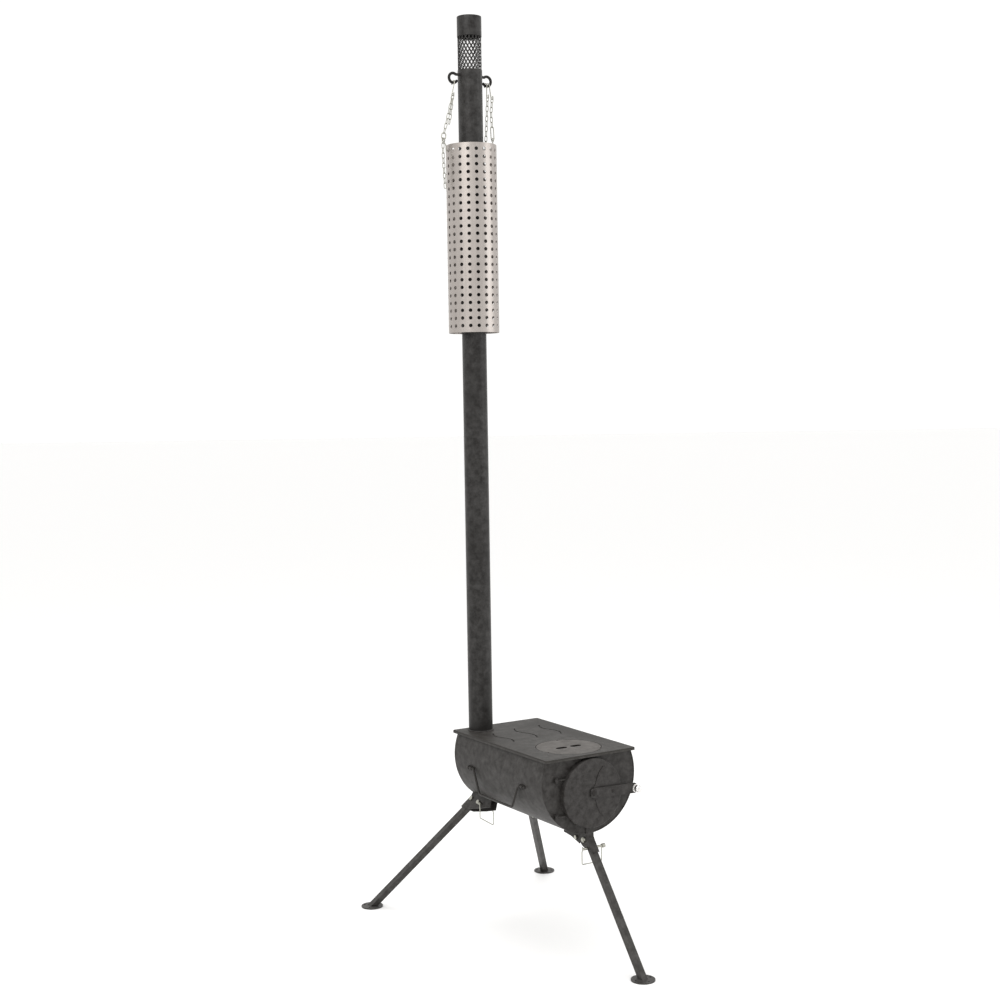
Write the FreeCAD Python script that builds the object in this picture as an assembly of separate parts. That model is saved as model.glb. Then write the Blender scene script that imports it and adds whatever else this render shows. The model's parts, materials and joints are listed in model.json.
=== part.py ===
import FreeCAD, Part
import math
import os

# Portable drum stove with a sectional flue.
# Frame: X right, the door faces -Y, Z up. Origin on the floor under the middle of the top plate.
# Millimetres.

# ---- driving dimensions -------------------------------------------------
PLATE_X, PLATE_Y, PLATE_Z = 254.0, 424.0, 475.0   # top plate width, length, top height
PLATE_T, LIP_DROP = 3.0, 6.5                      # sheet thickness, height of the turned-down lip
DRUM_R, DRUM_T, DRUM_ZC = 131.0, 2.0, 417.3       # firebox shell
DRUM_Y0, DRUM_Y1 = -199.0, 195.0
END_T, END_INSET = 2.0, 1.0
LID_C, LID_R, LID_SLIT = (0.0, -117.0), 76.8, 1.5
FLUE_C, FLUE_R, FLUE_T = (-68.0, 171.0), 30.0, 1.0
COLLAR_TOP, SECTION, SPIGOT = 525.0, 379.0, 20.0
SPIGOT_R = 28.75
ARR_MESH_Z0, ARR_MESH_Z1, ARR_TOP = 2095.6, 2176.0, 2223.5
GUARD_R, GUARD_Z0, GUARD_Z1 = 62.0, 1460.5, 1914.6
DOOR_R, DOOR_ZC, DOOR_FACE_Y, DOOR_BACK_Y = 81.0, 383.5, -216.0, -198.6
MOUTH_R = 70.0
HINGE_X, HINGE_Y = -94.0, -205.0
HANDLE_X, HANDLE_Z, ROD_R = 133.2, 398.0, 2.85
PIV_S, PIV_R = -6.0, 146.0                        # leg pivot: beyond the drum's end, out from its axis
LEG_W, LEG_WALL = 15.0, 1.5
WEB_GAP = 0.4
CHEEK_IN, CHEEK_T = 8.4, 2.0
PIN_L1, PIN_R = 22.0, 3.0                         # lock pin below the pivot, its radius
FOOT_R, FOOT_T = 27.5, 3.0
REAR_ROLL = 32.55
FOLD = 86.0                                       # how far the front leg folds, degrees
FRONT_FOOT_Y, REAR_FOOT_Y = -400.0, 400.0

V = FreeCAD.Vector
os.makedirs("parts", exist_ok=True)


def save(name, *shapes):
    solids = []
    for s in shapes:
        solids += s.Solids
    shape = solids[0] if len(solids) == 1 else Part.makeCompound(solids)
    for s in solids:
        if not s.isValid() or s.Volume <= 0:
            print("BAD", name, s.Volume)
    shape.exportStep("parts/%s.step" % name)
    bb = shape.BoundBox
    print("%-26s %2d solids  x %.1f..%.1f  y %.1f..%.1f  z %.1f..%.1f" % (
        name, len(solids), bb.XMin, bb.XMax, bb.YMin, bb.YMax, bb.ZMin, bb.ZMax))
    return shape


def box(x0, x1, y0, y1, z0, z1):
    return Part.makeBox(x1 - x0, y1 - y0, z1 - z0, V(x0, y0, z0))


def cyl(r, a, b):
    a, b = V(*a), V(*b)
    return Part.makeCylinder(r, (b - a).Length, a, b - a)


def revolve(profile, c, axis=V(0, 0, 1)):
    # profile in (r, z) round the vertical line through c
    pts = [V(c[0] + r, c[1], z) for r, z in profile]
    face = Part.Face(Part.makePolygon(pts + [pts[0]]))
    return face.revolve(V(c[0], c[1], 0), axis, 360)


def revolve_y(profile, cx, cz):
    # profile in (r, y) round the line along Y through (cx, cz)
    pts = [V(cx + r, y, cz) for r, y in profile]
    face = Part.Face(Part.makePolygon(pts + [pts[0]]))
    return face.revolve(V(cx, 0, cz), V(0, 1, 0), 360)


def prism(points, depth):
    face = Part.Face(Part.makePolygon([V(*p) for p in points] + [V(*points[0])]))
    return face.extrude(V(*depth))


def fillet_path(points, radii):
    # a wire of straight runs joined by tangent arcs
    pts = [V(*p) for p in points]
    edges, last = [], pts[0]
    for i in range(1, len(pts) - 1):
        a, b, c = pts[i - 1], pts[i], pts[i + 1]
        u, w = (a - b).normalize(), (c - b).normalize()
        ang = math.acos(max(-1, min(1, u.dot(w))))
        t = radii[i - 1] / math.tan(ang / 2)
        p0, p1 = b + u * t, b + w * t
        bis = (u + w).normalize()
        cen = b + bis * (radii[i - 1] / math.sin(ang / 2))
        mid = cen - bis * radii[i - 1]
        if (p0 - last).Length > 1e-4:
            edges.append(Part.LineSegment(last, p0).toShape())
        edges.append(Part.Arc(p0, mid, p1).toShape())
        last = p1
    edges.append(Part.LineSegment(last, pts[-1]).toShape())
    return Part.Wire(edges)


def rod(points, radii, r):
    path = fillet_path(points, radii)
    d = V(*points[1]) - V(*points[0])
    prof = Part.Wire([Part.makeCircle(r, V(*points[0]), d)])
    return path.makePipeShell([prof], True, True)


def hexagon(af, a, b):
    # hexagonal prism from a to b, across flats af
    a, b = V(*a), V(*b)
    d = (b - a)
    n = V(d).normalize()
    ref = V(0, 0, 1) if abs(n.z) < 0.9 else V(1, 0, 0)
    u = ref.cross(n).normalize()
    w = n.cross(u)
    rr = af / math.sqrt(3)
    pts = [a + u * (rr * math.cos(math.radians(60 * k))) + w * (rr * math.sin(math.radians(60 * k))) for k in range(6)]
    return Part.Face(Part.makePolygon(pts + [pts[0]])).extrude(d)


# ---- firebox ------------------------------------------------------------
under = PLATE_Z - PLATE_T
above = box(-400, 400, -600, 600, under, 900)
shell = cyl(DRUM_R, (0, DRUM_Y0, DRUM_ZC), (0, DRUM_Y1, DRUM_ZC)).cut(
    cyl(DRUM_R - DRUM_T, (0, DRUM_Y0 - 5, DRUM_ZC), (0, DRUM_Y1 + 5, DRUM_ZC))).cut(above)
save("drum_shell", shell)

ri = DRUM_R - DRUM_T
front = cyl(ri, (0, DRUM_Y0 + END_INSET, DRUM_ZC), (0, DRUM_Y0 + END_INSET + END_T, DRUM_ZC)).cut(above)
front = front.cut(cyl(MOUTH_R, (0, -250, DOOR_ZC), (0, -150, DOOR_ZC)))
save("front_plate", front)
rear = cyl(ri, (0, DRUM_Y1 - END_INSET - END_T, DRUM_ZC), (0, DRUM_Y1 - END_INSET, DRUM_ZC)).cut(above)
save("rear_plate", rear)

# top plate: sheet with a turned-down lip, rounded corners
hx, hy = PLATE_X / 2, PLATE_Y / 2
plate = box(-hx, hx, -hy, hy, PLATE_Z - LIP_DROP, PLATE_Z)
plate = plate.makeFillet(7.0, [e for e in plate.Edges if abs(e.BoundBox.ZLength - LIP_DROP) < 1e-3])
top_edges = [e for e in plate.Edges if abs(e.BoundBox.ZMin - PLATE_Z) < 1e-4 and abs(e.BoundBox.ZMax - PLATE_Z) < 1e-4]
plate = plate.makeFillet(2.4, top_edges)
inner = box(-hx + 3, hx - 3, -hy + 3, hy - 3, PLATE_Z - LIP_DROP - 1, under)
inner = inner.makeFillet(4.0, [e for e in inner.Edges if abs(e.BoundBox.ZLength - (LIP_DROP + 1 - PLATE_T)) < 1e-3])
plate = plate.cut(inner)
plate = plate.cut(cyl(LID_R + LID_SLIT, LID_C + (400,), LID_C + (500,)))
plate = plate.cut(cyl(FLUE_R - FLUE_T, FLUE_C + (400,), FLUE_C + (500,)))


def wave(p0, p1, amp, n=28):
    pts = []
    for k in range(n + 1):
        t = k / n
        x = p0[0] + (p1[0] - p0[0]) * t
        y = p0[1] + (p1[1] - p0[1]) * t
        a = amp * math.sin(2 * math.pi * t)
        pts.append((x + a, y))
    return pts


WAVES = [((-68.0, 111.6), (-77.6, 2.4)), ((5.1, 130.8), (-4.1, 12.2)), ((78.4, 130.0), (66.9, 12.7))]
for p0, p1 in WAVES:
    pts = wave(p0, p1, -9.0)
    left, right = [], []
    for i, (x, y) in enumerate(pts):
        xa, ya = pts[max(0, i - 1)]
        xb, yb = pts[min(len(pts) - 1, i + 1)]
        d = math.hypot(xb - xa, yb - ya)
        nx, ny = -(yb - ya) / d * 1.7, (xb - xa) / d * 1.7
        left.append(V(x + nx, y + ny, PLATE_Z - 2.0))
        right.append(V(x - nx, y - ny, PLATE_Z - 2.0))
    ring = left + right[::-1]
    plate = plate.cut(Part.Face(Part.makePolygon(ring + [ring[0]])).extrude(V(0, 0, 5)))
save("top_plate", plate)

# ring that carries the lid, flush with the plate
seat = revolve([(70.0, 469.0), (78.9, 469.0), (78.9, under), (70.0, under)], LID_C)
save("lid_seat_ring", seat)

lid = cyl(LID_R, LID_C + (under,), LID_C + (PLATE_Z,))
for a in (77, 197, 317):
    ca, sa = math.cos(math.radians(a)), math.sin(math.radians(a))
    lid = lid.cut(cyl(2.6, (LID_C[0] + 76.2 * ca, LID_C[1] + 76.2 * sa, 470), (LID_C[0] + 76.2 * ca, LID_C[1] + 76.2 * sa, 480)))
for sx in (-1, 1):
    # recessed finger slots either side of the lifting bar, blind so that the fire stays covered
    x0, x1 = sorted((sx * 13.0, sx * 27.5))
    cut = box(x0, x1, LID_C[1] - 7.5, LID_C[1] + 7.5, under - 1, PLATE_Z + 1)
    for xc in (x0, x1):
        cut = cut.fuse(cyl(7.5, (xc, LID_C[1], under - 1), (xc, LID_C[1], PLATE_Z + 1)))
    lid = lid.cut(cut)
save("lid", lid)
# shallow cup welded under the lid's slots, closing them
cup = box(-40, 40, LID_C[1] - 13, LID_C[1] + 13, 456, under).cut(box(-38.5, 38.5, LID_C[1] - 11.5, LID_C[1] + 11.5, 457.5, under + 1))
save("lid_slot_cup", cup)

# ---- door ---------------------------------------------------------------
pan = revolve_y([(0.0, DOOR_FACE_Y), (DOOR_R - 1.5, DOOR_FACE_Y), (DOOR_R, DOOR_FACE_Y + 1.5), (DOOR_R, DOOR_BACK_Y),
                 (DOOR_R - 2, DOOR_BACK_Y), (DOOR_R - 2, DOOR_FACE_Y + 2), (0.0, DOOR_FACE_Y + 2)], 0, DOOR_ZC)
pan = pan.cut(cyl(4.05, (0, -230, DOOR_ZC + 1.5), (0, -200, DOOR_ZC + 1.5)))
save("door_pan", pan)

HZ = (424.0, 339.0)
knuckles, pins, eyes = [], [], []
for hz in HZ:
    for s in (-1, 1):
        z0, z1 = sorted((hz + s * 3.5, hz + s * 5.3))
        k = box(-97.2, -90.8, HINGE_Y, DRUM_Y0 + END_INSET, z0, z1)
        k = k.fuse(cyl(3.6, (HINGE_X, HINGE_Y, z0), (HINGE_X, HINGE_Y, z1)))
        knuckles.append(k.cut(cyl(1.9, (HINGE_X, HINGE_Y, z0 - 1), (HINGE_X, HINGE_Y, z1 + 1))).cut(shell))
    p = cyl(1.9, (HINGE_X, HINGE_Y, hz - 5.3), (HINGE_X, HINGE_Y, hz + 5.3))
    for s in (-1, 1):
        p = p.fuse(cyl(2.8, (HINGE_X, HINGE_Y, hz + s * 5.3), (HINGE_X, HINGE_Y, hz + s * 6.6)))
    pins.append(p)
    eye = cyl(4.2, (HINGE_X, HINGE_Y, hz - 3.2), (HINGE_X, HINGE_Y, hz + 3.2))
    edge = math.sqrt(DOOR_R ** 2 - (hz - DOOR_ZC) ** 2)
    arm = cyl(2.6, (HINGE_X, HINGE_Y, hz), (-edge + 2.0, HINGE_Y, hz))
    eye = eye.fuse(arm).cut(cyl(1.95, (HINGE_X, HINGE_Y, hz - 20), (HINGE_X, HINGE_Y, hz + 20)))
    eye = eye.cut(cyl(DOOR_R, (0, -260, DOOR_ZC), (0, -150, DOOR_ZC)))
    eyes.append(eye)
save("door_hinge_lugs", *knuckles)
save("door_hinge_pins", *pins)
save("door_hinge_eyes", *eyes)

HUB_Z = DOOR_ZC + 1.5
hub = cyl(4.0, (0, DOOR_FACE_Y + 2.0, HUB_Z), (0, -221.8, HUB_Z))
hub = hub.fuse(cyl(6.5, (0, DOOR_FACE_Y + 2.0, HUB_Z), (0, DOOR_FACE_Y + 3.5, HUB_Z)))
head = Part.makeSphere(9.0, V(0, -215.8, HUB_Z)).common(box(-9, 9, -230, -221.8, HUB_Z - 9, HUB_Z + 9))
save("lever_pivot_rivet", hub.fuse(head))

# fan-shaped vane behind the lever
fan = []
VR, HALF = 66.0, 64.0
c = V(0, -217.3, HUB_Z)
pts = []
for k in range(25):
    a = math.radians(-HALF + 2 * HALF * k / 24)
    pts.append(c + V(VR * math.cos(a), 0, VR * math.sin(a)))
top = pts[-1]
for t in (0.75, 0.5, 0.3):
    a = math.radians(HALF + 8 * t * (1 - t) * 4)
    pts.append(c + V(VR * t * math.cos(a), 0, VR * t * math.sin(a)))
for a in (110, 140, 180, 220, 250):
    pts.append(c + V(11 * math.cos(math.radians(a)), 0, 11 * math.sin(math.radians(a))))
for t in (0.3, 0.5, 0.75):
    a = math.radians(-HALF - 8 * t * (1 - t) * 4)
    pts.append(c + V(VR * t * math.cos(a), 0, VR * t * math.sin(a)))
vane = Part.Face(Part.makePolygon(pts + [pts[0]])).extrude(V(0, 1.0, 0))
vane = vane.cut(cyl(4.05, (0, -230, HUB_Z), (0, -200, HUB_Z)))

# lever strap, slightly dished channel, with its rivet and ball end
sl = -4.0 / 117.0
def zl(x):
    return HUB_Z + sl * x
SY = -218.7
st = prism([(-9, SY, zl(-9) - 9), (-9, SY, zl(-9) + 9), (2, SY, zl(2) + 12), (117, SY, zl(117) + 12.0),
            (123, SY, zl(123) + 8), (123, SY, zl(123) - 8), (117, SY, zl(117) - 12.0), (2, SY, zl(2) - 12)], (0, -2.6, 0))
st = st.cut(cyl(4.05, (0, -230, HUB_Z), (0, -200, HUB_Z))).cut(cyl(2.5, (53, -230, zl(53)), (53, -200, zl(53))))
st = st.cut(cyl(3.0, (117, -230, zl(117)), (117, -200, zl(117))))
save("lever_strap", st)
# screw through the vane and strap at the middle of the lever
spacers = [cyl(7.0, (0, -217.3, HUB_Z), (0, SY, HUB_Z)).cut(cyl(4.05, (0, -230, HUB_Z), (0, -200, HUB_Z))),
           cyl(5.0, (53, -217.3, zl(53)), (53, SY, zl(53))).cut(cyl(2.5, (53, -230, zl(53)), (53, -200, zl(53))))]
save("lever_spacers", *spacers)
riv = cyl(2.5, (53, -216.5, zl(53)), (53, -221.3, zl(53)))
hd = Part.makeSphere(5.4, V(53, -218.6, zl(53))).common(box(40, 60, -230, -221.3, zl(53) - 8, zl(53) + 8))
vcut = vane.cut(cyl(2.5, (53, -230, zl(53)), (53, -200, zl(53))))
save("door_vane", vcut)
save("lever_rivet", riv.fuse(hd))
wz = zl(117)
wash = cyl(9.5, (117, -221.3, wz), (117, -223.3, wz)).cut(cyl(3.0, (117, -230, wz), (117, -200, wz)))
save("lever_washer", wash)
stud = cyl(3.0, (117, SY, wz), (117, -228.5, wz))
save("lever_stud", stud)
ball = Part.makeSphere(9.5, V(117, -232.5, wz)).cut(box(100, 130, -223.3, -200, wz - 20, wz + 20)).cut(stud)
ball = ball.fuse(cyl(6.0, (117, -223.3, wz), (117, -227.0, wz)).cut(stud))
save("lever_knob", ball)

# ---- side handles ---------------------------------------------------------
drumcut = cyl(DRUM_R, (0, -300, DRUM_ZC), (0, 300, DRUM_ZC))
for side, sx in (("left", -1), ("right", 1)):
    X = sx * HANDLE_X
    zb = HANDLE_Z - 57.0
    bail = rod([(X, -129, HANDLE_Z), (X, -101, HANDLE_Z), (X, -74, zb), (X, 74, zb), (X, 101, HANDLE_Z), (X, 129, HANDLE_Z)],
               [6, 9, 9, 6], ROD_R)
    save("handle_" + side, bail)
    lugs = []
    for sy in (-1, 1):
        for ya in (108.0, 121.0):
            y0, y1 = sorted((sy * ya, sy * (ya + 2.4)))
            lug = box(min(X, sx * 120), max(X, sx * 120), y0, y1, HANDLE_Z - 4.6, HANDLE_Z + 4.6)
            lug = lug.fuse(cyl(4.7, (X, y0, HANDLE_Z), (X, y1, HANDLE_Z)))
            lug = lug.cut(cyl(ROD_R + 0.06, (X, y0 - 1, HANDLE_Z), (X, y1 + 1, HANDLE_Z))).cut(drumcut)
            lugs.append(lug)
    save("handle_lugs_" + side, *lugs)

# ---- legs -----------------------------------------------------------------
# Local frame of a leg bracket: x across, y = -s (s outward past the drum's end), z = -rho (rho out from its axis).
tan_f = (FRONT_FOOT_Y - (DRUM_Y0 - PIV_S))
ALPHA_F = math.degrees(math.atan2(abs(tan_f), (DRUM_ZC - PIV_R) - FOOT_T / 2))
cr, sr = math.cos(math.radians(REAR_ROLL)), math.sin(math.radians(REAR_ROLL))
drop_r = (DRUM_ZC - PIV_R * cr) - FOOT_T / 2
ALPHA_R = math.degrees(math.atan2((REAR_FOOT_Y - (DRUM_Y1 + PIV_S)) * cr, drop_r))
print("leg angles", ALPHA_F, ALPHA_R)


def lp(t, s, rho):
    return V(t, -s, -rho)


def bracket_frame(which):
    if which == "front":
        return FreeCAD.Placement(V(0, DRUM_Y0, DRUM_ZC), FreeCAD.Rotation())
    roll = REAR_ROLL if which == "left" else -REAR_ROLL
    turn = FreeCAD.Rotation(V(0, 1, 0), roll).multiply(FreeCAD.Rotation(V(0, 0, 1), 180))
    return FreeCAD.Placement(V(0, DRUM_Y1, DRUM_ZC), turn)


def put(shape, pl):
    s = shape.copy()
    s.transformShape(pl.toMatrix(), True)
    return s


def poly_x(points, t0, t1):
    # points (s, rho) extruded across
    return prism([tuple(lp(t0, s, r)) for s, r in points], (t1 - t0, 0, 0))


for which in ("front", "left", "right"):
    al = math.radians(ALPHA_F if which == "front" else ALPHA_R)
    hs = -1.0 if which == "right" else 1.0
    pl = bracket_frame(which)
    d = (math.sin(al), math.cos(al))
    n = (math.cos(al), -math.sin(al))
    P = (PIV_S, PIV_R)

    def at(a, b):
        # a along the leg from the pivot, b outward from its axis
        return (P[0] + d[0] * a + n[0] * b, P[1] + d[1] * a + n[1] * b)

    front_leg = which == "front"
    gi = LEG_W / 2 + WEB_GAP
    go = gi + 2.0
    CW = CHEEK_IN + CHEEK_T
    # lock pin: through the leg below its pivot at the front, behind the leg's shoulder at the rear
    if front_leg:
        pq = at(PIN_L1, 0)
        head_t, tip_t, tip_end = 33.0, -22.5, -24.5
        cheek_tail = [(12.0, 168.0), (-9.3, 164.8), (-61.6, 149.5), (-92.0, 146.5)]
    else:
        pq = (-54.0, 149.5)
        head_t, tip_t, tip_end = 19.0, -27.5, -30.0
        cheek_tail = [(14.0, 174.0), (-9.3, 173.0), (-62.0, 160.0), (-96.0, 149.0)]
    k = (0.0 - P[0] - n[0] * gi) / d[0]
    bend = at(k, gi)
    web_in = [(0.0, 116.0), bend, at(38, gi)]
    k2 = (2.0 - P[0] - n[0] * go) / d[0]
    web_out = [at(38, go), at(k2, go), (2.0, 116.0)]
    web = poly_x(web_in + web_out, -CW, CW)
    cheek_pts = [(-86.0, 128.0), (2.0, 128.0), at(k2, go), at(38, go)] + cheek_tail
    br = web
    for t0, t1 in ((-CW, -CHEEK_IN), (CHEEK_IN, CW)):
        br = br.fuse(poly_x(cheek_pts, t0, t1))
    # holes for the pivot bolt and the cross bolt
    br = br.cut(cyl(4.02, tuple(lp(-20, *P)), tuple(lp(20, *P))))
    if front_leg:
        br = br.cut(cyl(3.02, tuple(lp(-20, -38, 147)), tuple(lp(20, -38, 147))))
    # open arc for the front lock pin, from its locked place back along the fold; a plain hole at the rear
    if front_leg:
        arc = cyl(PIN_L1 + 3.4, tuple(lp(-20, *P)), tuple(lp(20, *P))).cut(cyl(PIN_L1 - 3.4, tuple(lp(-21, *P)), tuple(lp(21, *P))))
        a0, a1 = al, al - math.radians(FOLD + 2)
        far = 80.0
        wedge = [P]
        for j in range(7):
            a = a0 + (a1 - a0) * j / 6
            wedge.append((P[0] + far * math.sin(a), P[1] + far * math.cos(a)))
        arc = arc.common(poly_x(wedge, -20, 20))
        for a in (a0, a1):
            q = (P[0] + PIN_L1 * math.sin(a), P[1] + PIN_L1 * math.cos(a))
            arc = arc.fuse(cyl(3.4, tuple(lp(-20, *q)), tuple(lp(20, *q))))
    else:
        arc = cyl(PIN_R + 0.06, tuple(lp(-20, *pq)), tuple(lp(20, *pq)))
    br = br.cut(arc)
    # trim to the drum; above its end line the web lies on the end plate's rim
    br = br.cut(cyl(DRUM_R, (0, 0, 0), (0, 200, 0)))
    br = br.removeSplitter()
    save("leg_bracket_" + which, put(br, pl))

    bolt = cyl(4.0, tuple(lp(-CW, *P)), tuple(lp(CW, *P))).fuse(hexagon(11.0, tuple(lp(CW * hs, *P)), tuple(lp((CW + 4.0) * hs, *P))))
    bolt = bolt.fuse(hexagon(11.0, tuple(lp(-CW * hs, *P)), tuple(lp(-(CW + 5.0) * hs, *P))))
    bolt = bolt.fuse(cyl(4.0, tuple(lp(-(CW + 5.0) * hs, *P)), tuple(lp(-(CW + 7.0) * hs, *P))))
    save("pivot_bolt_" + which, put(bolt, pl))
    if front_leg:
        q = (-38, 147)
        b2 = cyl(3.0, tuple(lp(-CW, *q)), tuple(lp(CW, *q))).fuse(hexagon(9.0, tuple(lp(CW * hs, *q)), tuple(lp((CW + 3.5) * hs, *q))))
        b2 = b2.fuse(hexagon(9.0, tuple(lp(-CW * hs, *q)), tuple(lp(-(CW + 4.5) * hs, *q))))
        save("cross_bolt_" + which, put(b2, pl))

    # leg tube: square, round-nosed at the pivot
    LL = 460.0
    def leg_prism(h, a0_, a1_, w):
        return poly_x([at(a0_, -h), at(a1_, -h), at(a1_, h), at(a0_, h)], -w, w)
    h = LEG_W / 2
    tube = leg_prism(h, 0, LL, h).fuse(cyl(h, tuple(lp(-h, *P)), tuple(lp(h, *P))))
    tube = tube.removeSplitter()
    hi = h - LEG_WALL
    tube = tube.cut(leg_prism(hi, -20, LL + 5, hi))
    tube = tube.cut(cyl(4.06, tuple(lp(-20, *P)), tuple(lp(20, *P))))
    if front_leg:
        tube = tube.cut(cyl(PIN_R + 0.06, tuple(lp(-20, *pq)), tuple(lp(20, *pq))))
    tube = put(tube, pl)
    tube = tube.cut(box(-700, 700, -900, 900, -500, FOOT_T))
    save("leg_tube_" + which, tube)
    # foot: a flat disc with peg holes, level on the floor
    wp = pl.multVec(lp(0, *P))
    wd = pl.multVec(lp(0, *at(1, 0))) - wp
    kk = (FOOT_T / 2 - wp.z) / wd.z
    fc = wp + wd * kk
    print("foot", which, fc, "leg length", kk)
    foot = cyl(FOOT_R, (fc.x, fc.y, 0), (fc.x, fc.y, FOOT_T))
    fdir = V(wd.x, wd.y, 0).normalize()
    side = V(-fdir.y, fdir.x, 0)
    for v in (fdir * 20.5, side * 20.5, side * -20.5):
        foot = foot.cut(cyl(2.6, (fc.x + v.x, fc.y + v.y, -1), (fc.x + v.x, fc.y + v.y, 5)))
    save("foot_" + which, foot)

    # lock pin and its square wire bail, which turns in the pin's head
    h_in = head_t - 4.0
    pin = cyl(PIN_R, tuple(lp(tip_end * hs, *pq)), tuple(lp(h_in * hs, *pq)))
    pin = pin.fuse(cyl(5.0, tuple(lp(h_in * hs, *pq)), tuple(lp((head_t + 4.0) * hs, *pq))))
    pin = pin.cut(cyl(1.35, tuple(lp(head_t * hs, pq[0] - 10, pq[1])), tuple(lp(head_t * hs, pq[0] + 10, pq[1]))))
    save("lock_pin_" + which, put(pin, pl))
    # bail: from the cross hole in the head, down, across, and up behind the pin's tip; it hangs plumb
    w = 1.25
    H0 = head_t * hs
    s0, r0 = pq
    off = 6.6
    tip = tip_t * hs
    if front_leg:
        dr, dt = 38.0, 0.0
    else:
        dr, dt = 38.0 * cr, -38.0 * sr * hs
    pts = [tuple(lp(H0, s0 + 5.6, r0)), tuple(lp(H0, s0 - off, r0)), tuple(lp(H0 + dt, s0 - off, r0 + dr)), tuple(lp(tip + dt, s0 - off, r0 + dr)),
           tuple(lp(tip + dt * 0.26, s0 - off, r0 + dr * 0.26)), tuple(lp(tip + dt * 0.08, s0 - 4.6, r0 + dr * 0.08)), tuple(lp(tip - dt * 0.09, s0 - 4.6, r0 - dr * 0.09))]
    bail2 = rod(pts, [2.2, 3.2, 3.2, 3.0, 3.0], w)
    save("pin_bail_" + which, put(bail2, pl))

# ---- flue -----------------------------------------------------------------
R, RI = FLUE_R, FLUE_R - FLUE_T
collar = revolve([(RI, PLATE_Z), (R + 3.0, PLATE_Z), (R + 1.2, PLATE_Z + 1.2), (R, PLATE_Z + 3.2), (R, COLLAR_TOP), (RI, COLLAR_TOP)], FLUE_C)
save("flue_collar", collar)


def section(z0, z1):
    return revolve([(SPIGOT_R - 1, z0 - SPIGOT), (SPIGOT_R, z0 - SPIGOT), (SPIGOT_R, z0), (R, z0), (R, z1), (RI, z1),
                    (RI, z0 + 2), (SPIGOT_R - 1, z0 + 2)], FLUE_C)


z = COLLAR_TOP
for i in range(4):
    save("flue_section_%d" % (i + 1), section(z, z + SECTION))
    z += SECTION
ARR0 = z
print("arrestor seam", ARR0)
save("arrestor_tube", section(ARR0, ARR_MESH_Z0))
save("arrestor_mesh", revolve([(27.6, ARR_MESH_Z0), (28.8, ARR_MESH_Z0), (28.8, ARR_MESH_Z1), (27.6, ARR_MESH_Z1)], FLUE_C))
save("arrestor_cap", revolve([(0.0, ARR_TOP - 1), (R - 1, ARR_TOP - 1), (R - 1, ARR_MESH_Z1), (R, ARR_MESH_Z1), (R, ARR_TOP), (0.0, ARR_TOP)], FLUE_C))

RING_Z, RING_C, RING_ROD, RING_R = 2074.0, 47.5, 3.4, 11.5
for side, sx in (("left", -1), ("right", 1)):
    # pigtail ring: leaves the tube at the top, curls out and round, ends near the tube at the bottom
    cx = FLUE_C[0] + sx * RING_C
    def on_ring(a):
        return V(cx - sx * RING_R * math.cos(math.radians(a)), FLUE_C[1], RING_Z + RING_R * math.sin(math.radians(a)))
    arc = Part.Arc(on_ring(50), on_ring(180), on_ring(325)).toShape()
    prof = Part.Wire([Part.makeCircle(RING_ROD, on_ring(50), V(math.sin(math.radians(50)) * sx, 0, math.cos(math.radians(50))))])
    body = Part.Wire([arc]).makePipeShell([prof], True, True)
    stub = cyl(RING_ROD, (FLUE_C[0] + sx * (R - 2.0), FLUE_C[1], on_ring(50).z + 0.5), tuple(on_ring(52)))
    body = body.fuse(stub).fuse(Part.makeSphere(RING_ROD, on_ring(325))).cut(cyl(R, FLUE_C + (2000,), FLUE_C + (2200,)))
    save("ring_" + side, body)

# ---- heat guard and its chains ----------------------------------------------
guard = revolve([(GUARD_R - 1, GUARD_Z0), (GUARD_R, GUARD_Z0), (GUARD_R, GUARD_Z1), (GUARD_R - 1, GUARD_Z1)], FLUE_C)
HOLE_AZ = {"left": -109.35 + 15 * 18.947, "right": -109.35 + 6 * 18.947}
HOLE_Z = GUARD_Z1 - 15.0
holes = {}
for k, a in HOLE_AZ.items():
    u = V(math.cos(math.radians(a)), math.sin(math.radians(a)), 0)
    cpt = V(FLUE_C[0], FLUE_C[1], HOLE_Z)
    holes[k] = (cpt, u)
    guard = guard.cut(Part.makeCylinder(4.4, 30, cpt + u * 50, u))
save("heat_guard", guard)

LW, LH, LL_, PITCH = 0.9, 4.0, 7.9, 12.0     # link wire radius, half width, half length, pitch


def link(center, axis, normal, half_w=LH, half_l=LL_, wire=LW):
    # oval link: long axis along axis, flat in the plane with the given normal
    a = V(axis).normalize()
    nn = V(normal)
    nn = (nn - a * nn.dot(a)).normalize()
    w_ = nn.cross(a)
    rr = half_w - wire
    hl = half_l - half_w
    C = V(center)
    solid = None
    for s in (1, -1):
        cpos = C + a * (s * hl)
        e0, em, e1 = cpos + w_ * rr, cpos + a * (s * rr), cpos - w_ * rr
        path = Part.Wire([Part.Arc(e0, em, e1).toShape()])
        prof = Part.Wire([Part.makeCircle(wire, e0, a)])
        half = path.makePipeShell([prof], True, True)
        solid = half if solid is None else solid.fuse(half)
    for s in (1, -1):
        solid = solid.fuse(Part.makeCylinder(wire, 2 * hl, C + w_ * (s * rr) - a * hl, a))
    return solid.removeSplitter()


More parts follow.
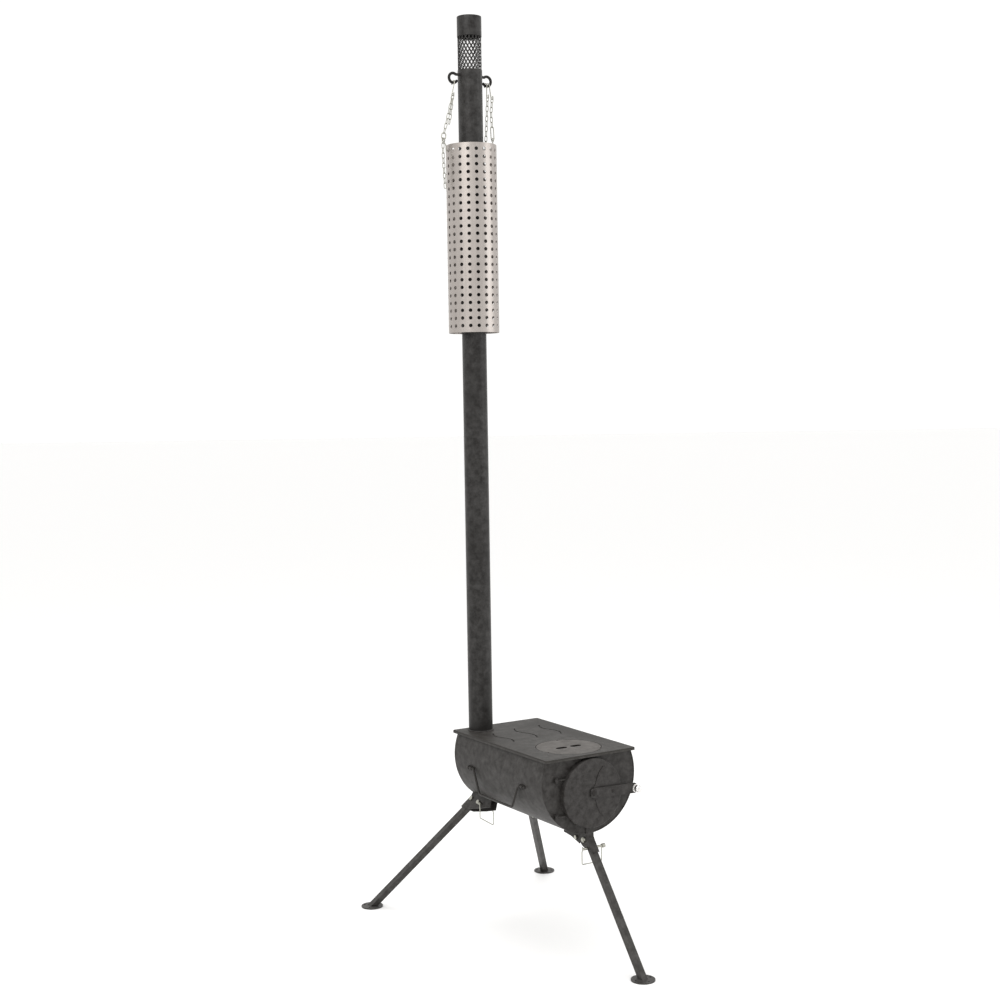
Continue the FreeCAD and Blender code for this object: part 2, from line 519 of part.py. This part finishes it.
def chain(points, count=None, start_normal=V(0, 1, 0)):
    # links at a fixed pitch along a polyline; alternate links are turned a quarter
    pts = [V(*p) for p in points]
    run = [0.0]
    for i in range(1, len(pts)):
        run.append(run[-1] + (pts[i] - pts[i - 1]).Length)
    def at_s(s):
        for i in range(1, len(pts)):
            if s <= run[i] or i == len(pts) - 1:
                t = (s - run[i - 1]) / (run[i] - run[i - 1])
                return pts[i - 1] + (pts[i] - pts[i - 1]) * t
    nlinks = count or int(run[-1] // PITCH)
    out = []
    for i in range(nlinks):
        a, b = at_s(i * PITCH), at_s((i + 1) * PITCH)
        other = V(1, 0, 0) if start_normal.y else V(0, 1, 0)
        out.append(link((a + b) * 0.5, b - a, start_normal if i % 2 == 0 else other))
    return out


def s_hook(p_top, p_bot, r_top, r_bot, lateral, wire=1.25):
    # S-hook: a loop round p_top, a stem, a loop round p_bot, in the plane of the stem and lateral
    A, B = V(*p_top), V(*p_bot)
    u = V(lateral).normalize()
    d_ = (B - A)
    d_ = d_ - u * d_.dot(u)
    Ld = d_.Length
    d1 = V(d_).normalize()
    s0 = A - u * r_top
    s1 = A + d1 * Ld - u * r_top
    cb = s1 - u * r_bot
    def arc_pt(c_, r_, ang, su, sd):
        return c_ + u * (su * r_ * math.cos(ang)) + d1 * (sd * r_ * math.sin(ang))
    top = Part.Arc(arc_pt(A, r_top, math.radians(-40), 1, -1), arc_pt(A, r_top, math.radians(80), 1, -1), arc_pt(A, r_top, math.pi, 1, -1)).toShape()
    stem = Part.LineSegment(s0, s1).toShape()
    bot = Part.Arc(s1, arc_pt(cb, r_bot, math.radians(90), 1, 1), arc_pt(cb, r_bot, math.radians(215), 1, 1)).toShape()
    pts0 = arc_pt(A, r_top, math.radians(-40), 1, -1)
    tan = u * (math.sin(math.radians(-40))) * -1 + d1 * (-math.cos(math.radians(-40)))
    prof = Part.Wire([Part.makeCircle(wire, pts0, tan)])
    body = Part.Wire([top, stem, bot]).makePipeShell([prof], True, True)
    return body, cb


Y = FLUE_C[1]
zr = RING_Z - RING_R
xl, xr = FLUE_C[0] - RING_C, FLUE_C[0] + RING_C
hooks = []
hl, cl = s_hook((xl, Y, zr), (xl - 7.5, Y, zr - 29), 6.0, 4.6, (0, 1, 0)); hooks.append(hl)
h1, c1 = s_hook((xr + 3.6, Y, zr + 0.6), (xr + 8.0, Y, zr - 28), 6.0, 4.6, (0, 1, 0)); hooks.append(h1)
h2, c2 = s_hook((xr - 3.4, Y, zr + 0.6), (xr - 4.4, Y, zr - 26), 6.0, 4.6, (0, 1, 0)); hooks.append(h2)
print("hook curls", cl, c1, c2)
SAG = 1.9
# left: working strand to the big link, spare strand beside it
a0 = cl + V(-0.6, -2.0, -0.5)
strand_a = chain([tuple(a0), (-141.2, Y + 4.1, 1940.4)], 8)
strand_b = chain([tuple(cl + V(1.6, 2.0, 0)), (-124.0, Y + 2.6, 1981.0), (-129.4, Y + 1.6, 1955.0)], 6)
big = link((-142.0, Y + 4.6, 1934.0), V(-0.10, 0.06, -1.0), V(0, 1, 0), 7.0, 9.0, 1.3)
tail = chain([(-144.5, Y + 5.0, 1928.7), (-145.0, Y + 3.0, 1880.0), (-142.2, Y, 1798.0)], 10, V(1, 0, 0))
cpt, u = holes["left"]
wall = cpt + u * (GUARD_R - 0.5)
save("chain_left", *(strand_a + strand_b + tail + [big]))
strand_c = chain([tuple(c1 + V(0.8, 0, 0)), (-8.3, Y + 2.0, 1997.0), (-4.6, Y + 3.6, 1962.0)], 6)
strand_d = chain([tuple(c2 + V(0, 0, 0)), (-25.6, Y, 1927.0), (-25.6, Y, 1880.0)], 13)
save("chain_right", *(strand_c + strand_d))


def rim_hook(top, hole, out_r, wire=1.25):
    # wire from an eye at the top, down outside the guard, in through the hole and up behind the wall
    cpt_, u_ = hole
    zv = V(0, 0, 1)
    o = cpt_ + u_ * (GUARD_R + out_r)
    i_ = cpt_ + u_ * (GUARD_R - 6.5)
    p = [tuple(V(*top) + V(0, 0, -1.0)), tuple(o + zv * 12), tuple(o + zv * -0.4), tuple(i_ + zv * -0.4), tuple(i_ + zv * 9.0)]
    hook = rod(p, [4.0, 3.4, 3.0], wire)
    eye = Part.makeTorus(4.4, wire, V(*top) + V(0, 0, 3.2), V(1, 0, 0))
    return hook.fuse(eye)


hooks.append(rim_hook((-141.2, Y + 5.1, 1921.6), holes["left"], 5.5))
hooks.append(rim_hook((-3.2, Y + 4.2, 1951.0 - 20.0), holes["right"], 5.0))
conn = link((-4.2, Y + 3.9, 1950.25), V(0.06, 0, -1.0), V(0, 1, 0), 5.4, 17.65, 1.25)
save("s_hooks", *(hooks + [conn]))
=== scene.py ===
import bpy, bmesh, json, math, random
from mathutils import Vector, Matrix


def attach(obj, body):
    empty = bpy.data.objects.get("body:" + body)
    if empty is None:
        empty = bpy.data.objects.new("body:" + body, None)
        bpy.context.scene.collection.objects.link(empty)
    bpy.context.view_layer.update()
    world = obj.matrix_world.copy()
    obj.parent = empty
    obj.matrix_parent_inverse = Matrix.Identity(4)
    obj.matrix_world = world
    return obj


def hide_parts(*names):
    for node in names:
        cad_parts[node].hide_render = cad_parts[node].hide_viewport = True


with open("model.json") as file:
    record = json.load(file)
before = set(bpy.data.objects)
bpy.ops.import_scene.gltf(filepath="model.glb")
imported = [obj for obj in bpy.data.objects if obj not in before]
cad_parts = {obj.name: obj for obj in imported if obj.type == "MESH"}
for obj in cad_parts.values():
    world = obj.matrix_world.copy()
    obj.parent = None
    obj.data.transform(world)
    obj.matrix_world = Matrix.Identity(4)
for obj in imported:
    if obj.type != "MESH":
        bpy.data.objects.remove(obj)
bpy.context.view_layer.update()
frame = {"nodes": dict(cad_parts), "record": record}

nodes = frame["nodes"]
random.seed(7)
scene = bpy.context.scene
MM = 0.001


# ---------------------------------------------------------------- materials
def new_mat(name):
    m = bpy.data.materials.new(name)
    m.use_nodes = True
    nt = m.node_tree
    for n in list(nt.nodes):
        if n.type != "OUTPUT_MATERIAL":
            nt.nodes.remove(n)
    out = next(n for n in nt.nodes if n.type == "OUTPUT_MATERIAL")
    b = nt.nodes.new("ShaderNodeBsdfPrincipled")
    nt.links.new(b.outputs["BSDF"], out.inputs["Surface"])
    return m, nt, b


def noise(nt, scale, detail=4.0, rough=0.6, stretch=None):
    tc = nt.nodes.new("ShaderNodeTexCoord")
    src = tc.outputs["Object"]
    if stretch:
        mp = nt.nodes.new("ShaderNodeMapping")
        mp.inputs["Scale"].default_value = stretch
        nt.links.new(src, mp.inputs["Vector"])
        src = mp.outputs["Vector"]
    n = nt.nodes.new("ShaderNodeTexNoise")
    n.inputs["Scale"].default_value = scale
    n.inputs["Detail"].default_value = detail
    n.inputs["Roughness"].default_value = rough
    nt.links.new(src, n.inputs["Vector"])
    return n.outputs["Fac"]


def ramp(nt, fac, stops):
    r = nt.nodes.new("ShaderNodeValToRGB")
    e = r.color_ramp.elements
    while len(e) < len(stops):
        e.new(0.5)
    for i, (p, c) in enumerate(stops):
        e[i].position = p
        e[i].color = (c, c, c, 1) if isinstance(c, float) else tuple(c) + (1,)
    nt.links.new(fac, r.inputs["Fac"])
    return r.outputs["Color"]


def blend_colour(nt, fac, a, b, mode="MIX"):
    m = nt.nodes.new("ShaderNodeMix")
    m.data_type = "RGBA"
    m.blend_type = mode
    if isinstance(fac, float):
        m.inputs["Factor"].default_value = fac
    else:
        nt.links.new(fac, m.inputs["Factor"])
    for sock, v in ((m.inputs["A"], a), (m.inputs["B"], b)):
        if isinstance(v, (tuple, list)):
            sock.default_value = tuple(v) + (1,)
        else:
            nt.links.new(v, sock)
    return m.outputs["Result"]


def add_bump(nt, b, layers):
    last = None
    for h, strength, dist in layers:
        n = nt.nodes.new("ShaderNodeBump")
        n.inputs["Strength"].default_value = strength
        n.inputs["Distance"].default_value = dist
        nt.links.new(h, n.inputs["Height"])
        if last:
            nt.links.new(last, n.inputs["Normal"])
        last = n.outputs["Normal"]
    nt.links.new(last, b.inputs["Normal"])


def scale_c(c, k):
    return tuple(min(1.0, v * k) for v in c)


def paint(name, col, rough=0.55, orange=0.25, wear=0.35, spec=0.20, dust=0.05):
    # stove paint: fine powder grain, broad soft patches, paler rubbed edges
    m, nt, b = new_mat(name)
    broad = noise(nt, 9.0, 5.0, 0.65)
    fine = noise(nt, 420.0, 3.0, 0.7)
    speck = noise(nt, 900.0, 2.0, 0.5)
    base = ramp(nt, broad, [(0.30, scale_c(col, 0.985)), (0.52, col), (0.72, scale_c(col, 1.02))])
    grain = ramp(nt, fine, [(0.35, scale_c(col, 0.90)), (0.65, scale_c(col, 1.10))])
    c1 = blend_colour(nt, 0.2, base, grain)
    pale = ramp(nt, speck, [(0.66, 0.0), (0.76, 1.0)])
    k = nt.nodes.new("ShaderNodeMath")
    k.operation = "MULTIPLY"
    k.inputs[1].default_value = dust * 0.5
    nt.links.new(pale, k.inputs[0])
    c2 = blend_colour(nt, k.outputs[0], c1, scale_c(tuple(v + 0.02 for v in col), 2.2))
    geo = nt.nodes.new("ShaderNodeNewGeometry")
    edge = ramp(nt, geo.outputs["Pointiness"], [(0.515, 0.0), (0.58, 1.0)])
    e = nt.nodes.new("ShaderNodeMath")
    e.operation = "MULTIPLY"
    nt.links.new(edge, e.inputs[0])
    worn = ramp(nt, noise(nt, 60.0, 4.0, 0.7), [(0.35, 0.0), (0.70, wear)])
    nt.links.new(worn, e.inputs[1])
    c3 = blend_colour(nt, e.outputs[0], c2, scale_c(tuple(v + 0.03 for v in col), 2.4))
    nt.links.new(c3, b.inputs["Base Color"])
    r = ramp(nt, fine, [(0.25, rough - 0.02), (0.75, rough + 0.03)])
    nt.links.new(r, b.inputs["Roughness"])
    b.inputs["Specular IOR Level"].default_value = spec
    add_bump(nt, b, [(fine, orange * 0.4, 0.0001)])
    return m


def steel(name, col, rough=0.3, stretch=(1, 1, 1), stain=0.12, scale=160.0, bump=0.12):
    m, nt, b = new_mat(name)
    streak = noise(nt, scale, 5.0, 0.65, stretch)
    broad = noise(nt, 14.0, 4.0, 0.6)
    a = ramp(nt, streak, [(0.3, scale_c(col, 0.88)), (0.7, scale_c(col, 1.06))])
    bb = ramp(nt, broad, [(0.35, scale_c(col, 1.0 - stain)), (0.65, scale_c(col, 1.04))])
    nt.links.new(blend_colour(nt, 0.5, a, bb), b.inputs["Base Color"])
    b.inputs["Metallic"].default_value = 1.0
    r = ramp(nt, streak, [(0.25, rough - 0.07), (0.75, rough + 0.12)])
    nt.links.new(r, b.inputs["Roughness"])
    add_bump(nt, b, [(streak, bump, 0.0002)])
    return m


def zinc(name, col=(0.42, 0.415, 0.37), rough=0.30):
    # bright plating with small spangles
    m, nt, b = new_mat(name)
    tc = nt.nodes.new("ShaderNodeTexCoord")
    v = nt.nodes.new("ShaderNodeTexVoronoi")
    v.inputs["Scale"].default_value = 520.0
    nt.links.new(tc.outputs["Object"], v.inputs["Vector"])
    sp = ramp(nt, v.outputs["Color"], [(0.2, scale_c(col, 0.82)), (0.8, scale_c(col, 1.12))])
    br = ramp(nt, noise(nt, 70.0), [(0.35, scale_c(col, 0.80)), (0.7, col)])
    nt.links.new(blend_colour(nt, 0.5, sp, br), b.inputs["Base Color"])
    b.inputs["Metallic"].default_value = 1.0
    nt.links.new(ramp(nt, v.outputs["Color"], [(0.1, rough - 0.08), (0.9, rough + 0.12)]), b.inputs["Roughness"])
    add_bump(nt, b, [(noise(nt, 700.0), 0.10, 0.00015)])
    return m


M = {
    "drum_paint": paint("drum_paint", (0.0185, 0.0165, 0.0150), 0.50),
    "plate_paint": paint("plate_paint", (0.030, 0.0275, 0.025), 0.52, orange=0.35, spec=0.13),
    "lid_paint": paint("lid_paint", (0.056, 0.050, 0.045), 0.50, orange=0.3, spec=0.15),
    "door_paint": paint("door_paint", (0.018, 0.0160, 0.0148), 0.50),
    "leg_paint": paint("leg_paint", (0.026, 0.024, 0.022), 0.44),
    "flue_paint": paint("flue_paint", (0.0125, 0.0114, 0.0106), 0.36, dust=0.04),
    "guard_steel": steel("guard_steel", (0.43, 0.395, 0.37), 0.36, (1, 1, 0.06), 0.06),
    "zinc": zinc("zinc"),
    "bright_steel": steel("bright_steel", (0.78, 0.77, 0.76), 0.16, (1, 1, 1), 0.05, 90.0, 0.05),
}
# painted shade: dark material for the lid slot cup and the lid's slot walls, standing in for the shade inside
# the finger slots
SLOT_SHADE_PAINT = paint("slot_painted_shade", (0.018, 0.016, 0.015), 0.8, orange=0.6, wear=0.0, dust=0.2)
WELD = paint("weld_paint", (0.030, 0.027, 0.025), 0.5, orange=0.7)

slots = {s["node"]: s["material_slot"] for s in frame["record"]["subparts"]}
for n, o in nodes.items():
    mat = M[slots[n]]
    o.data.materials.clear()
    # painted shade: the lid slot cup gets the dark slot material in place of its own paint
    o.data.materials.append(SLOT_SHADE_PAINT if n == "lid_slot_cup" else mat)
    if n == "lid":
        # painted shade: the walls inside the two finger slots get the dark slot material, standing in for the
        # shade inside the slots
        o.data.materials.append(SLOT_SHADE_PAINT)
        for p in o.data.polygons:
            c = o.matrix_world @ p.center
            if abs(p.normal.z) < 0.5 and abs(c.x) < 0.040 and abs(c.y + 0.117) < 0.013:
                p.material_index = 1


# ---------------------------------------------------------------- mesh helpers
def mesh_obj(name, verts, faces, mat, body, smooth=True):
    me = bpy.data.meshes.new(name)
    me.from_pydata([tuple(v) for v in verts], [], faces)
    me.validate()
    me.update()
    if smooth:
        for p in me.polygons:
            p.use_smooth = True
    o = bpy.data.objects.new(name, me)
    scene.collection.objects.link(o)
    me.materials.append(mat)
    bm = bmesh.new()
    bm.from_mesh(me)
    bmesh.ops.recalc_face_normals(bm, faces=bm.faces)
    bm.to_mesh(me)
    bm.free()
    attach(o, body)
    return o


def sweep(points, radius, sides=10, closed=False, wob=0.0):
    # round tube along points (metres), parallel transport frames
    pts = [Vector(p) for p in points]
    n = len(pts)
    verts, faces = [], []
    up = None
    for i, p in enumerate(pts):
        a = pts[(i - 1) % n] if (closed or i > 0) else pts[i]
        c = pts[(i + 1) % n] if (closed or i < n - 1) else pts[i]
        t = (c - a).normalized()
        if up is None:
            up = Vector((0, 0, 1)) if abs(t.z) < 0.9 else Vector((1, 0, 0))
        u = (up - t * up.dot(t)).normalized()
        w = t.cross(u)
        up = u
        r = radius * (1 + wob * (random.random() - 0.5))
        for k in range(sides):
            ang = 2 * math.pi * k / sides
            verts.append(p + u * (r * math.cos(ang)) + w * (r * math.sin(ang)))
    last = n if closed else n - 1
    for i in range(last):
        j = (i + 1) % n
        for k in range(sides):
            k2 = (k + 1) % sides
            faces.append((i * sides + k, i * sides + k2, j * sides + k2, j * sides + k))
    if not closed:
        faces.append(tuple(range(sides))[::-1])
        faces.append(tuple((n - 1) * sides + k for k in range(sides)))
    return verts, faces


# ---------------------------------------------------------------- heat guard
CX, CY = -68.0, 171.0
GR, GZ0, GZ1 = 62.0, 1460.5, 1914.6
COLS, ROWS, PITCH = 19, 24, 18.4
HOLE = 4.4
AZ0 = math.radians(-109.35)


def build_guard():
    # one sheet rolled into a tube, punched on a straight grid
    rr = GR - 0.5
    cellw = 2 * math.pi * rr / COLS
    z_first = GZ1 - 15.0
    verts, faces, index = [], [], {}

    def vid(s, z):
        s = s % (2 * math.pi * rr)
        if abs(s - 2 * math.pi * rr) < 1e-5:
            s = 0.0
        key = (round(s, 3), round(z, 3))
        if key not in index:
            a = AZ0 + s / rr
            index[key] = len(verts)
            verts.append(((CX + rr * math.cos(a)) * MM, (CY + rr * math.sin(a)) * MM, z * MM))
        return index[key]

    N = 16
    for c in range(COLS):
        for r in range(ROWS):
            cs, cz = c * cellw, z_first - r * PITCH
            hw, hh = cellw / 2, PITCH / 2
            inner, outer = [], []
            for k in range(N):
                a = math.pi / 4 + 2 * math.pi * k / N
                x, y = math.cos(a), math.sin(a)
                m = max(abs(x), abs(y))
                outer.append(vid(cs + x / m * hw, cz + y / m * hh))
                inner.append(vid(cs + HOLE * x, cz + HOLE * y))
            for k in range(N):
                k2 = (k + 1) % N
                faces.append((outer[k], outer[k2], inner[k2], inner[k]))
        for z_edge, z_lim in ((z_first + PITCH / 2, GZ1), (z_first - (ROWS - 1) * PITCH - PITCH / 2, GZ0)):
            q = []
            for k in range(5):
                s = c * cellw - cellw / 2 + cellw * k / 4
                q.append((vid(s, z_edge), vid(s, z_lim)))
            for k in range(4):
                faces.append((q[k][0], q[k + 1][0], q[k + 1][1], q[k][1]))
    o = mesh_obj("guard_sheet", verts, faces, M["guard_steel"], "guard")
    s = o.modifiers.new("gauge", "SOLIDIFY")
    s.thickness = 0.001
    s.offset = 0.0
    use = {}
    for p in o.data.polygons:
        for k in p.edge_keys:
            use[k] = use.get(k, 0) + 1
    for e in o.data.edges:
        if use.get(tuple(sorted(e.vertices)), 0) == 1:
            e.use_edge_sharp = True
    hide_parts("heat_guard")
    return o


guard = build_guard()


# ---------------------------------------------------------------- arrestor mesh
def build_mesh_tube():
    # expanded metal: flat strands in two crossing sets, joined where they cross
    z0, z1, r0 = 2094.0, 2177.5, 28.3
    verts, faces = [], []
    N, steep = 20, 1.75
    steps = 26
    turn = (z1 - z0) / steep / r0
    for s in (1, -1):
        for i in range(N):
            base_a = 2 * math.pi * (i + 0.25) / N
            start = len(verts)
            for k in range(steps + 1):
                t = k / steps
                z = z0 + (z1 - z0) * t
                a = base_a + s * turn * t
                ca, sa = math.cos(a), math.sin(a)
                # strand direction and its side within the surface
                dl = math.hypot(1.0, steep)
                side = Vector((-sa, ca, 0)) * (steep / dl) + Vector((0, 0, -s / dl))
                rad = Vector((ca, sa, 0))
                ripple = 0.28 * s
                c = Vector((CX, CY, z)) + rad * (r0 + ripple)
                for dw, dr in ((-0.95, -0.4), (0.95, -0.4), (0.95, 0.4), (-0.95, 0.4)):
                    verts.append((c + side * dw + rad * dr) * MM)
            for k in range(steps):
                for j in range(4):
                    j2 = (j + 1) % 4
                    a_, b_ = start + k * 4, start + (k + 1) * 4
                    faces.append((a_ + j, a_ + j2, b_ + j2, b_ + j))
            faces.append((start + 3, start + 2, start + 1, start))
            e = start + steps * 4
            faces.append((e, e + 1, e + 2, e + 3))
    o = mesh_obj("spark_mesh", verts, faces, M["flue_paint"], "arrestor", smooth=False)
    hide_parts("arrestor_mesh")
    return o


build_mesh_tube()


# ---------------------------------------------------------------- welds
def bead_path(points, name, body, r=1.3, mat=WELD, closed=False):
    # a rippled weld bead along a path in millimetres
    pts = [Vector(p) for p in points]
    dense = []
    n = len(pts)
    for i in range(n if closed else n - 1):
        a, b = pts[i], pts[(i + 1) % n]
        k = max(1, int((b - a).length / 1.1))
        for j in range(k):
            dense.append(a.lerp(b, j / k))
    if not closed:
        dense.append(pts[-1])
    v, f = sweep([p * MM for p in dense], r * MM, 8, closed, wob=0.45)
    return mesh_obj(name, v, f, mat, body)


circle = [(CX + 31.6 * math.cos(2 * math.pi * k / 60), CY + 31.6 * math.sin(2 * math.pi * k / 60), 476.0) for k in range(60)]
bead_path(circle, "weld_collar", "stove", 1.5, mat=WELD, closed=True)


# ---------------------------------------------------------------- camera
def camera():
    az, el, roll = math.radians(-31.80), math.radians(3.608), math.radians(-0.906)
    fwd = Vector((-math.sin(az) * math.cos(el), math.cos(az) * math.cos(el), -math.sin(el)))
    right0 = fwd.cross(Vector((0, 0, 1))).normalized()
    up0 = right0.cross(fwd)
    right = right0 * math.cos(roll) + up0 * math.sin(roll)
    up = -right0 * math.sin(roll) + up0 * math.cos(roll)
    cam = bpy.data.cameras.new("camera")
    cam.sensor_fit = "HORIZONTAL"
    cam.sensor_width = 36.0
    cam.lens = 1554.6 / 1000 * 36.0
    cam.clip_start, cam.clip_end = 0.05, 60
    o = bpy.data.objects.new("camera", cam)
    m = Matrix((right, up, -fwd)).transposed().to_4x4()
    m.translation = Vector((-2.0425, -3.1215, 1.2906))
    o.matrix_world = m
    scene.collection.objects.link(o)
    scene.camera = o


camera()


# ---------------------------------------------------------------- floor and light
fm, fnt, fb = new_mat("floor_pale")
fb.inputs["Base Color"].default_value = (0.93, 0.93, 0.93, 1)
fb.inputs["Roughness"].default_value = 0.75
fme = bpy.data.meshes.new("floor")
# flat square floor plane
prof = []
fv, ff = [], []
S = 60.0
fv = [(-S, -S, 0), (S, -S, 0), (S, S, 0), (-S, S, 0)]
ff = [(0, 1, 2, 3)]
fme.from_pydata(fv, [], ff)
fme.materials.append(fm)
floor = bpy.data.objects.new("floor", fme)
scene.collection.objects.link(floor)

world = bpy.data.worlds.new("studio")
scene.world = world
world.use_nodes = True
bg = world.node_tree.nodes["Background"]
bg.inputs["Color"].default_value = (1.0, 0.995, 0.985, 1)
bg.inputs["Strength"].default_value = 1.06


def area(name, loc, target, size, power, colour=(1, 1, 1)):
    l = bpy.data.lights.new(name, "AREA")
    l.shape = "RECTANGLE"
    l.size, l.size_y = size
    l.energy = power
    l.color = colour
    o = bpy.data.objects.new(name, l)
    o.location = loc
    d = (Vector(target) - Vector(loc)).normalized()
    o.rotation_euler = d.to_track_quat("-Z", "Y").to_euler()
    scene.collection.objects.link(o)


area("key", (-2.6, -1.4, 3.4), (0, 0, 0.9), (2.2, 2.2), 40, (1.0, 0.985, 0.96))
area("fill", (2.8, -2.4, 1.8), (0, 0, 0.7), (2.0, 2.6), 24)
area("top", (0.2, 0.4, 3.9), (0, 0, 0.4), (2.4, 2.4), 30)

scene.view_settings.view_transform = "Standard"
